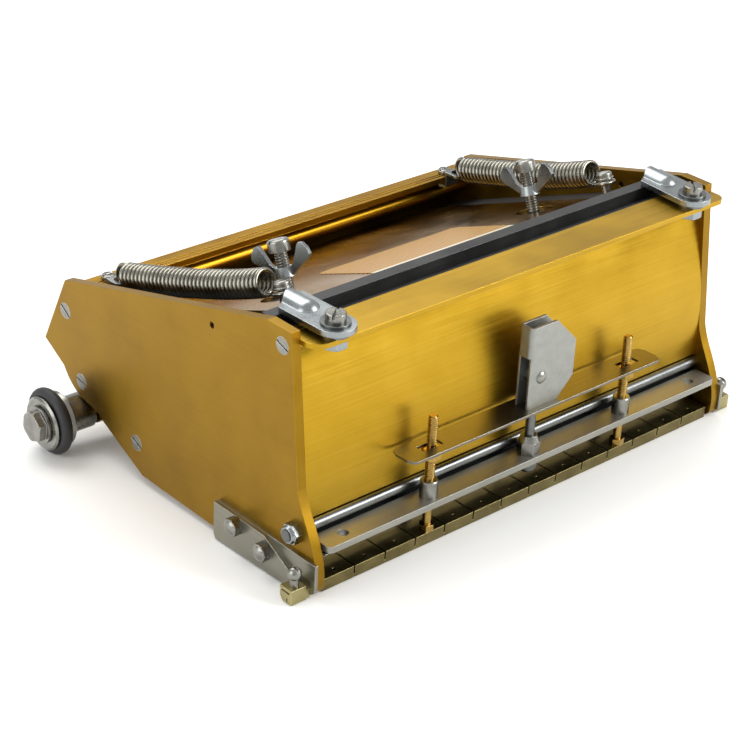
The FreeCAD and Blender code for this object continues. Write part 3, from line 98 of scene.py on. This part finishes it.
# %% The shared recipe for metal
def metal(name, base, light, dark, roughness, grain=(40.0, 0.35), along="X", spread=0.10, bump=0.02,
          cloud_mm=28.0, edge_mm=0.35, edge=None, metallic=1.0, contrast=0.5, scratches=0.0):
    m = bpy.data.materials.new(name)
    m.use_nodes = True
    m.node_tree.nodes.clear()
    place = add(m, "ShaderNodeTexCoord").outputs["Object"]
    fine = 1000.0 / grain[1]
    slow = 1000.0 / grain[0]
    scale = {"X": (slow, fine, fine), "Y": (fine, slow, fine), "Z": (fine, fine, slow),
             "N": (fine, fine, fine)}[along]
    stretched = add(m, "ShaderNodeMapping", {"Scale": scale}, {"Vector": place}).outputs["Vector"]
    strokes = add(m, "ShaderNodeTexNoise", {"Scale": 1.0, "Detail": 3.0, "Roughness": 0.6},
                  {"Vector": stretched}).outputs["Fac"]
    cloud = add(m, "ShaderNodeTexNoise", {"Scale": 1000.0 / cloud_mm, "Detail": 4.0, "Roughness": 0.55},
                {"Vector": place}).outputs["Fac"]
    tone = add(m, "ShaderNodeMix", {"data_type": "FLOAT", "Factor": contrast},
               {"A": cloud, "B": strokes}).outputs[0]
    band = add(m, "ShaderNodeValToRGB", links={"Fac": tone})
    band.color_ramp.elements.new(0.5)
    for element, position, code in zip(band.color_ramp.elements, (0.30, 0.50, 0.70), (dark, base, light)):
        element.position, element.color = position, linear(code)
    colour = band.outputs["Color"]
    rounded = add(m, "ShaderNodeBevel", {"samples": 4, "Radius": edge_mm * MM}).outputs["Normal"]
    if edge:
        flat = add(m, "ShaderNodeNewGeometry").outputs["Normal"]
        facing = add(m, "ShaderNodeVectorMath", {"operation": "DOT_PRODUCT"})
        m.node_tree.links.new(rounded, facing.inputs[0])
        m.node_tree.links.new(flat, facing.inputs[1])
        worn = add(m, "ShaderNodeMapRange",
                   {"From Min": 0.995, "From Max": 0.86, "To Min": 0.0, "To Max": 0.75},
                   {"Value": facing.outputs["Value"]}).outputs["Result"]
        mixed = add(m, "ShaderNodeMix", {"data_type": "RGBA"}, {"Factor": worn})
        m.node_tree.links.new(colour, mixed.inputs[6])
        mixed.inputs[7].default_value = linear(edge)
        colour = mixed.outputs[2]
    rough = add(m, "ShaderNodeMapRange", {"From Min": 0.3, "From Max": 0.7,
                                          "To Min": max(roughness - spread, 0.05),
                                          "To Max": roughness + spread}, {"Value": tone})
    height = strokes
    if scratches:
        lines = add(m, "ShaderNodeMapping", {"Scale": (90.0, 1400.0, 700.0), "Rotation": (0.4, 0.9, 0.7)},
                    {"Vector": place}).outputs["Vector"]
        scuffs = add(m, "ShaderNodeTexNoise", {"Scale": 1.0, "Detail": 1.0}, {"Vector": lines}).outputs["Fac"]
        cut = add(m, "ShaderNodeMapRange", {"From Min": 0.66, "From Max": 0.74, "To Max": scratches},
                  {"Value": scuffs}).outputs["Result"]
        height = add(m, "ShaderNodeMath", {"operation": "SUBTRACT"})
        m.node_tree.links.new(strokes, height.inputs[0])
        m.node_tree.links.new(cut, height.inputs[1])
        height = height.outputs["Value"]
    normal = add(m, "ShaderNodeBump", {"Strength": 0.35, "Distance": bump * MM},
                 {"Height": height, "Normal": rounded}).outputs["Normal"]
    surface = add(m, "ShaderNodeBsdfPrincipled", {"Metallic": metallic},
                  {"Base Color": colour, "Roughness": rough.outputs["Result"], "Normal": normal})
    add(m, "ShaderNodeOutputMaterial", links={"Surface": surface.outputs["BSDF"]})
    return m


# %% [markdown]
# Gold anodising is a dyed oxide layer on brushed aluminium. The brushing is done on the flat sheet, so
# its strokes run along each panel: front to back on the side plates, left to right on the front plate,
# the rail and the floor. The inside of the door is finer, nearly satin.

# %% Anodised aluminium
# The side plates get a darker copy of the front plate's gold. This is painted shade for the sides turned away
# from the key light.
gold_side_painted_shade = metal("anodised_gold_brushed_lengthwise_painted_shade", "#8e6c19", "#997724", "#826011", 0.40, (60.0, 0.5), "Y",
                  edge="#b48c35", contrast=0.35)
gold_front = metal("anodised_gold_brushed_crosswise", "#ae8a24", "#ba9630", "#a07d1a", 0.38, (60.0, 0.5), "X",
                   edge="#cfa141", contrast=0.55, bump=0.03)
gold_rail = metal("anodised_gold_extruded", "#9d761b", "#aa8428", "#8c6711", 0.34, (90.0, 0.6), "X",
                  edge="#c79c3e", contrast=0.5)
gold_door = metal("anodised_gold_satin", "#96733b", "#a27f47", "#896630", 0.24, (30.0, 0.4), "X",
                  edge="#c2a05c", contrast=0.3, cloud_mm=45.0)
# The axle brackets get a still darker copy of the gold. This is painted shade for the shadow they sit in.
bracket_gold_painted_shade = metal("anodised_gold_painted_shade", "#7a5a1c", "#876725", "#6a4c14", 0.38, (20.0, 0.5), "X",
                     edge="#a98436",
                     contrast=0.4)

# %% [markdown]
# The small parts are steel in three dresses. Zinc plate is bluish and bright, with a soft cloudy bloom.
# Turned stainless is a little warmer and sharper. Rolled stainless sheet, as on the skids, keeps the
# straight lines of the mill. The lever and the bar are die cast or rolled alloy, duller and greyer.

# %% Steels and plain alloys
zinc = metal("bright_zinc_plate", "#8f9495", "#9da2a2", "#818687", 0.30, (8.0, 1.0), "N", cloud_mm=18.0,
             edge="#d3d6d5", contrast=0.3, scratches=0.3)
washer_steel = metal("dark_steel_washer", "#6d6f6d", "#7c7e7c", "#5c5e5c", 0.32, (3.0, 0.4), "N",
                     cloud_mm=6.0,
                     edge="#a9aba8", contrast=0.4)
turned = metal("turned_stainless_steel", "#8a8983", "#9c9b95", "#75746e", 0.28, (3.0, 0.4), "N", cloud_mm=7.0,
               edge="#cfcec8", contrast=0.3)
wire_steel = metal("drawn_stainless_wire", "#8f8c81", "#a5a296", "#77746a", 0.24, (5.0, 0.4), "N",
                   cloud_mm=12.0,
                   edge_mm=0.1, contrast=0.3)
leaf_steel = metal("spring_strip", "#6f6a5d", "#827c6e", "#5d584d", 0.34, (50.0, 0.5), "X", cloud_mm=25.0,
                   edge="#b9b6ab", contrast=0.4)
rolled = metal("rolled_stainless_sheet", "#908e82", "#a09e92", "#807e73", 0.36, (45.0, 0.45), "Y",
               edge="#c4c2b8", contrast=0.6)
lever_alloy = metal("tumbled_die_cast_alloy", "#959691", "#a1a29d", "#888984", 0.46, (4.0, 0.7), "N",
                    cloud_mm=6.0, edge="#c3c4bf", metallic=0.9, contrast=0.4, scratches=0.5)
bar_alloy = metal("rolled_alloy_flat", "#9b9a91", "#a8a79e", "#8c8b82", 0.50, (40.0, 0.5), "X",
                  edge="#c3c6c5", contrast=0.5)
rod_steel = metal("ground_steel_rod", "#6c6e6d", "#7e807f", "#5c5e5d", 0.30, (30.0, 0.4), "X", contrast=0.4)

# %% [markdown]
# The shoe and the skid blocks are brass that has gone olive brown from handling, milled on its faces.
# The adjusting screws are fresh brass, yellower and shinier.

# %% Brass
old_brass = metal("milled_brass_dulled", "#776b42", "#8c8056", "#5c5332", 0.38, (12.0, 0.4), "X",
                  cloud_mm=11.0,
                  edge="#b3a671", contrast=0.35, scratches=0.4)
block_brass = metal("milled_brass_pale", "#a0966a", "#b0a679", "#8b8157", 0.36, (6.0, 0.4), "Z", cloud_mm=9.0,
                    edge="#cfc596", contrast=0.35, scratches=0.4)
new_brass = metal("turned_brass", "#ad8d4b", "#c2a25f", "#927537", 0.28, (2.0, 0.3), "N", cloud_mm=6.0,
                  edge="#dcc07e", contrast=0.35)

# %% [markdown]
# Three black finishes close the list. Rubber on the door's rim and the tyres scatters light and shows
# a faint bloom. The door's front bar is black anodised, so it is darker than it is dull. The blade
# holder under the bar is near black as painted shade, standing in for the dark gap between bar and shoe.

# %% Black rubber, black oxide and painted shade
rubber = metal("moulded_black_rubber", "#1c1c1d", "#262627", "#121213", 0.55, (1.2, 0.5), "N", cloud_mm=14.0,
               edge="#333334", metallic=0.0, bump=0.03, contrast=0.4)
black_bar = metal("black_anodised_bar", "#2c2c2b", "#3a3a38", "#1f1f1e", 0.34, (40.0, 0.5), "X",
                  cloud_mm=16.0,
                  edge="#5a5f66", metallic=0.35, contrast=0.4)
# Near black blade holder: painted shade for the gap between the bar and the shoe.
holder_painted_shade = metal("blade_holder_painted_shade", "#202122", "#2b2c2e", "#151617", 0.42, (8.0, 0.8), "N",
                    cloud_mm=16.0,
                    edge="#4d4e50", metallic=0.1, contrast=0.4)
# The set screws get a dark brown gold. This is painted shade for the recesses they sit in.
recess_painted_shade = metal("screw_recess_painted_shade", "#3a2a12", "#4a3616", "#241a0a", 0.4, (2.0, 0.5), "N", edge_mm=0.1)

# %% Dress the CAD nodes
dress = {
    gold_side_painted_shade: ["side_plate_left", "side_plate_right"],
    gold_front: ["front_plate", "floor_panel"],
    gold_rail: ["back_rail"],
    gold_door: ["door_plate"],
    zinc: ["latch_left", "latch_right", "spring_lugs", "door_backing", "wing_nut_left", "wing_nut_right",
           "tie_rod_nuts", "latch_nuts"],
    washer_steel: ["latch_washers", "lever_stud"],
    bracket_gold_painted_shade: ["axle_brackets"],
    turned: ["latch_screws", "rail_screws", "rail_nuts", "plate_screws", "door_screws", "door_nuts",
             "spring_posts", "hex_post", "lever_pin", "bar_bushes", "wheel_bolts", "skid_screws",
             "wheel_hub_left", "wheel_hub_right", "axle", "axle_sleeves", "skid_bolts", "hinge_rod"],
    rod_steel: ["tie_rod"],
    leaf_steel: ["blade", "leaf_spring"],
    wire_steel: ["door_spring_left", "door_spring_right"],
    rolled: ["skid_plate_left", "skid_plate_right", "skid_strip_left", "skid_strip_right"],
    lever_alloy: ["crown_lever"],
    bar_alloy: ["adjuster_bar"],
    old_brass: ["brass_shoe"],
    block_brass: ["skid_block_left", "skid_block_right"],
    new_brass: ["adjust_screws", "leaf_nuts"],
    rubber: ["door_gasket", "tyre_left", "tyre_right"],
    black_bar: ["door_front_bar"],
    holder_painted_shade: ["blade_holder"],
    recess_painted_shade: ["set_screws"],
}
for finish, names in dress.items():
    for name in names:
        nodes[name].data.materials.clear()
        nodes[name].data.materials.append(finish)
print("dressed", sum(len(v) for v in dress.values()), "of", len(nodes))

# %% [markdown]
# The label is a thin printed film in the middle of the door. The print is left generic: a gold ground,
# a pale strip along the front edge, and a field of fine dark lines.

# %% Printed label
label = bpy.data.materials.new("printed_gold_film")
label.use_nodes = True
label.node_tree.nodes.clear()
low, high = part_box("door_label")
spot = add(label, "ShaderNodeTexCoord").outputs["Object"]
middle = add(label, "ShaderNodeMapping", {"Location": (-(low.x + high.x) / 2, -low.y, 0.0)},
             {"Vector": spot})
axes = add(label, "ShaderNodeSeparateXYZ", links={"Vector": middle.outputs["Vector"]})
strip = add(label, "ShaderNodeMapRange", {"From Min": 7.6 * MM, "From Max": 8.0 * MM},
            {"Value": axes.outputs["Y"]})
waves = add(label, "ShaderNodeTexWave", {"wave_type": "BANDS", "bands_direction": "Y", "Scale": 95.0,
                                         "Distortion": 3.0, "Detail": 1.0},
            {"Vector": middle.outputs["Vector"]})
lines = add(label, "ShaderNodeMix", {"data_type": "RGBA"})
lines.inputs[6].default_value = linear("#c09040")
lines.inputs[7].default_value = linear("#6b4a1c")
faint = add(label, "ShaderNodeMapRange", {"From Min": 0.24, "From Max": 0.10},
            {"Value": waves.outputs["Fac"]})
label.node_tree.links.new(faint.outputs["Result"], lines.inputs[0])
printed = add(label, "ShaderNodeMix", {"data_type": "RGBA"}, {"Factor": strip.outputs["Result"]})
printed.inputs[6].default_value = linear("#d9d3bd")
label.node_tree.links.new(lines.outputs[2], printed.inputs[7])
film = add(label, "ShaderNodeBsdfPrincipled", {"Roughness": 0.32, "Metallic": 0.15},
           {"Base Color": printed.outputs[2]})
add(label, "ShaderNodeOutputMaterial", links={"Surface": film.outputs["BSDF"]})
nodes["door_label"].data.materials.clear()
nodes["door_label"].data.materials.append(label)

# %% [markdown]
# Each door spring is close wound wire with a hook at each end. A ring of the wire's section is spun
# round the axis while it climbs, which is what a coiling machine does. The hooks are smooth wires
# through a few points. The spring is built upright at the origin, then laid between its two anchors.

# %% Spring sizes
WIRE = 1.12 * MM
COIL = 7.0 * MM
TURNS = 35
SAG = 1.9 * MM
LOOP = 5.9 * MM
LUG_HALF, LUG_SHEET = 5.0 * MM, 1.5 * MM
BACK_RISE, BACK_STEP = 4.3 * MM, 6.8 * MM
POST_ALONG, POST_RING = 142.8 * MM, 16.5 * MM
POST_FLANGE, POST_SHAFT = 5.6 * MM, 2.4 * MM
FRONT_RISE, FRONT_STEP, SPLAY = 4.8 * MM, 8.9 * MM, 1.3 * MM
LOOP_BACK = 2.2 * MM
LAP = 1.0 * MM
# the hook's way round the post, along the door and across it, in rings
ROUND_POST = ((-0.9, 1.0), (0, 1.2), (0.9, 0.95), (1.2, 0), (0.9, -0.95), (0, -1.2), (-0.8, -1.0))


# %% Wire and mesh helpers
def keep(bm, name, material, body=None):
    mesh = bpy.data.meshes.new(name)
    bm.to_mesh(mesh)
    bm.free()
    for face in mesh.polygons:
        face.use_smooth = True
    mesh.materials.append(material)
    piece = bpy.data.objects.new(name, mesh)
    bpy.context.scene.collection.objects.link(piece)
    if body:
        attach(piece, body)
    return piece


def wire_through(points, radius):
    curve = bpy.data.curves.new("wire", "CURVE")
    curve.dimensions = "3D"
    curve.bevel_depth = radius
    curve.bevel_resolution = 3
    curve.use_fill_caps = True
    curve.resolution_u = 10
    line = curve.splines.new("NURBS")
    line.points.add(len(points) - 1)
    for point, at in zip(line.points, points):
        point.co = (*at, 1.0)
    line.order_u = 3
    line.use_endpoint_u = True
    holder = bpy.data.objects.new("wire", curve)
    mesh = bpy.data.meshes.new_from_object(holder)
    bpy.data.objects.remove(holder)
    return mesh


def helix(bm, radius, wire, length, turns, steps=20, sides=8):
    upright_ring = Matrix.Translation((radius, 0, 0)) @ Matrix.Rotation(math.pi / 2, 4, "X")
    verts = list(bmesh.ops.create_circle(bm, segments=sides, radius=wire, matrix=upright_ring)["verts"])
    edges = {e for v in verts for e in v.link_edges}
    # start at the lowest point, where the hooks leave the coil
    bmesh.ops.rotate(bm, verts=verts, cent=(0, 0, 0), matrix=Matrix.Rotation(-math.pi / 2, 3, "Z"))
    count = turns * steps
    bmesh.ops.spin(bm, geom=verts + list(edges), cent=(0, 0, 0), axis=(0, 0, 1), angle=2 * math.pi * turns,
                   dvec=(0, 0, length / count), steps=count, use_duplicate=False)


# %% Door springs
hinge_at = Vector(joints["door_hinge"]["pos_m"])
up_door = Vector(joints["wing_nut_left_turn"]["axis"]).normalized()
along_door = Vector((1, 0, 0)).cross(up_door)
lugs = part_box("spring_lugs")
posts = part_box("spring_posts")


def on_door(x, along, up):
    return Vector((x, hinge_at.y, hinge_at.z)) + along_door * along + up_door * up


def door_spring(side, name):
    sign = -1 if side == "left" else 1
    hole = Vector((sign * (lugs[1].x - LUG_HALF), lugs[0].y + LUG_HALF, lugs[1].z - LUG_SHEET / 2))
    back = hole + Vector((0, -BACK_STEP, BACK_RISE))
    post_x = sign * (posts[1].x - POST_FLANGE)
    front = on_door(post_x + sign * SPLAY, POST_ALONG - FRONT_STEP, POST_RING + FRONT_RISE)
    axis = (front - back).normalized()
    length = (front - back).length
    level = (Vector((1, 0, 0)) - axis * axis.x).normalized()
    rise = axis.cross(level)
    lay = Matrix.Translation(back) @ Matrix((level, rise, axis)).transposed().to_4x4()
    bm = bmesh.new()
    helix(bm, COIL - WIRE, WIRE, length, TURNS)
    for v in bm.verts:
        t = v.co.z / length
        v.co.y -= SAG * 4 * t * (1 - t) * (0.7 + 0.6 * t)
    bmesh.ops.transform(bm, matrix=lay, verts=bm.verts)
    loop = [lay @ Vector((0, WIRE - COIL, 1.5 * LAP))]
    for turn in range(-90, 225, 15):
        a = math.radians(turn)
        loop.append(lay @ Vector((0, LOOP * math.sin(a), -LOOP_BACK - LOOP * math.cos(a))))
    ring = POST_SHAFT + WIRE + 0.1 * MM
    hook = [lay @ Vector((0, WIRE - COIL, length + z)) for z in (-LAP, 1.6 * LAP)]
    for along, aside in ROUND_POST:
        hook.append(on_door(post_x + sign * aside * ring, POST_ALONG + along * ring, POST_RING))
    for points in (loop, hook):
        mesh = wire_through(points, WIRE)
        bm.from_mesh(mesh)
        bpy.data.meshes.remove(mesh)
    bmesh.ops.recalc_face_normals(bm, faces=bm.faces)
    spring = keep(bm, name, wire_steel)
    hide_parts("door_spring_" + side)
    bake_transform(spring)
    print(name, "coil length", round(length / MM, 1), "mm, triangles", len(spring.data.polygons) * 2)


door_spring("left", "spring_coil_left")
door_spring("right", "spring_coil_right")

# %% [markdown]
# Screw threads show on the two brass adjusting screws and on the two door screws. A thread is one thin
# ridge wound round the plain rod, so a small triangle is spun up the rod in the same way as the coil.


# %% Threads
RIDGE, ROOT = 0.34 * MM, 0.05 * MM
RIDGE_SHARE = 0.42
STEPS_PER_TURN = 14


def thread(name, foot, up, length, radius, pitch, material, body):
    turns = length / pitch
    bm = bmesh.new()
    across = pitch * RIDGE_SHARE
    corners = [bm.verts.new((radius - ROOT, 0, -across)), bm.verts.new((radius + RIDGE, 0, 0)),
               bm.verts.new((radius - ROOT, 0, across))]
    edges = [bm.edges.new((corners[i], corners[(i + 1) % 3])) for i in range(3)]
    steps = int(turns * STEPS_PER_TURN)
    bmesh.ops.spin(bm, geom=corners + edges, cent=(0, 0, 0), axis=(0, 0, 1), angle=2 * math.pi * turns,
                   dvec=(0, 0, length / steps), steps=steps, use_duplicate=False)
    bmesh.ops.recalc_face_normals(bm, faces=bm.faces)
    turn = Vector(up).to_track_quat("Z", "Y").to_matrix().to_4x4()
    bmesh.ops.transform(bm, matrix=Matrix.Translation(foot) @ turn, verts=bm.verts)
    keep(bm, name, material, body)
    print(name, round(turns), "turns")


upright = Vector(joints["latch_left_swing"]["axis"]).normalized()
adjust_low, adjust_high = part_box("adjust_screws")
SCREW, STUD = 2.05 * MM, 2.8 * MM
SCREW_PITCH, STUD_PITCH = 1.0 * MM, 1.27 * MM
BUSH = 4.2 * MM
PLATE_TO_NUT = 11.35 * MM
for side, sign in (("left", -1), ("right", 1)):
    top = Vector((sign * (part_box("bar_bushes")[1].x - BUSH), adjust_low.y + SCREW, adjust_high.z))
    for part, below, length in (("upper", 14.6, 14.0), ("lower", 32.3, 10.0)):
        thread("thread_adjust_%s_%s" % (part, side), top - upright * below * MM, upright, length * MM, SCREW,
               SCREW_PITCH, new_brass, "frame_body")
    plate = Vector(joints["wing_nut_%s_turn" % side]["pos_m"]) - up_door * PLATE_TO_NUT
    for part, above, length in (("lower", 0.7, 7.4), ("upper", 14.2, 5.8)):
        thread("thread_stud_%s_%s" % (part, side), plate + up_door * above * MM, up_door, length * MM, STUD,
               STUD_PITCH, turned, "door")

# %% [markdown]
# The leaf spring is a strip held near its two ends by the small brass nuts. The lever presses its middle
# down. Each half is built as its own flat strip, with a slot where its nut sits.


# %% Leaf spring in two halves
LEAF_NUT, LEAF_CORNER = 3.7 * MM, 4.0 * MM
SLOT_HALF_LENGTH, SLOT_HALF_WIDTH = 6.0 * MM, 2.45 * MM
LEAF_COLUMNS = 60


def half_leaf(side, sign):
    low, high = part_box("leaf_spring")
    half_x, mid_y, half_y = high.x, (low.y + high.y) / 2, (high.y - low.y) / 2
    nut_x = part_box("leaf_nuts")[1].x - LEAF_NUT
    bm = bmesh.new()
    columns = [half_x * i / LEAF_COLUMNS for i in range(LEAF_COLUMNS + 1)]
    grid = []
    for x in columns:
        past = max(x - half_x + LEAF_CORNER, 0.0)
        edge = half_y - LEAF_CORNER + math.sqrt(max(LEAF_CORNER ** 2 - past ** 2, 0.0))
        grid.append([bm.verts.new((sign * x, mid_y + y, high.z))
                     for y in (-edge, -SLOT_HALF_WIDTH, SLOT_HALF_WIDTH, edge)])
    for (x0, a), (x1, b) in zip(zip(columns, grid), list(zip(columns, grid))[1:]):
        for row in range(3):
            if row == 1 and abs((x0 + x1) / 2 - nut_x) < SLOT_HALF_LENGTH:
                continue
            bm.faces.new((a[row], b[row], b[row + 1], a[row + 1]))
    made = bmesh.ops.extrude_face_region(bm, geom=list(bm.faces))
    bmesh.ops.translate(bm, verts=[v for v in made["geom"] if isinstance(v, bmesh.types.BMVert)],
                        vec=(0, 0, low.z - high.z))
    bmesh.ops.recalc_face_normals(bm, faces=bm.faces)
    strip = keep(bm, "leaf_half_" + side, leaf_steel)
    for face in strip.data.polygons:
        face.use_smooth = False
    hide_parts("leaf_spring")
    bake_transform(strip)
    print("leaf half", side, "nut at", round(nut_x / MM, 1), "mm")


half_leaf("left", -1)
half_leaf("right", 1)

# %% [markdown]
# The scene around the box is a pale floor that runs to the horizon and three soft lights. The key light
# stands to the front right, because the lever throws its soft shadow to the left on the front plate.

# %% Floor
bm = bmesh.new()
bmesh.ops.create_grid(bm, x_segments=1, y_segments=1, size=6.0)
floor_mesh = bpy.data.meshes.new("studio_floor")
bm.to_mesh(floor_mesh)
bm.free()
floor = bpy.data.objects.new("studio_floor", floor_mesh)
floor.location.z = -0.0004
bpy.context.scene.collection.objects.link(floor)
paper = bpy.data.materials.new("matt_white_paper")
paper.use_nodes = True
paper.node_tree.nodes["Principled BSDF"].inputs["Base Color"].default_value = linear("#f4f4f2")
paper.node_tree.nodes["Principled BSDF"].inputs["Roughness"].default_value = 0.9
floor.data.materials.append(paper)


# %% Lights
def soft_light(name, at, aim, size, power, colour="#ffffff"):
    light = bpy.data.lights.new(name, "AREA")
    light.shape = "RECTANGLE"
    light.size, light.size_y = size
    light.energy = power
    light.color = linear(colour)[:3]
    lamp = bpy.data.objects.new(name, light)
    lamp.location = at
    lamp.rotation_euler = (Vector(aim) - Vector(at)).to_track_quat("-Z", "Y").to_euler()
    bpy.context.scene.collection.objects.link(lamp)


soft_light("key_front_right", (0.75, -1.05, 0.75), (0.0, 0.0, 0.05), (0.7, 0.7), 16.0)
soft_light("fill_left", (-1.3, 0.1, 0.6), (0.0, 0.0, 0.05), (0.9, 0.9), 7.0)
soft_light("top_back", (0.1, 0.7, 1.3), (0.0, 0.0, 0.05), (1.4, 0.9), 16.0)
world = bpy.data.worlds.new("studio_air")
world.use_nodes = True
world.node_tree.nodes["Background"].inputs["Color"].default_value = linear("#ffffff")
world.node_tree.nodes["Background"].inputs["Strength"].default_value = 0.75
bpy.context.scene.world = world
bpy.context.scene.view_settings.view_transform = "Standard"

# %% Camera
EYE = Vector((-0.62986, -0.67754, 0.50363))
TARGET = Vector((-0.0512, -0.0445, 0.060))
ROLL = math.radians(1.757)
camera_data = bpy.data.cameras.new("view")
camera_data.lens = 100.6
camera_data.sensor_width = 36.0
camera = bpy.data.objects.new("view", camera_data)
camera.location = EYE
camera.rotation_mode = "QUATERNION"
rolled_by = Matrix.Rotation(ROLL, 3, "Z").to_quaternion()
camera.rotation_quaternion = (TARGET - EYE).to_track_quat("-Z", "Y") @ rolled_by
bpy.context.scene.collection.objects.link(camera)
bpy.context.scene.camera = camera
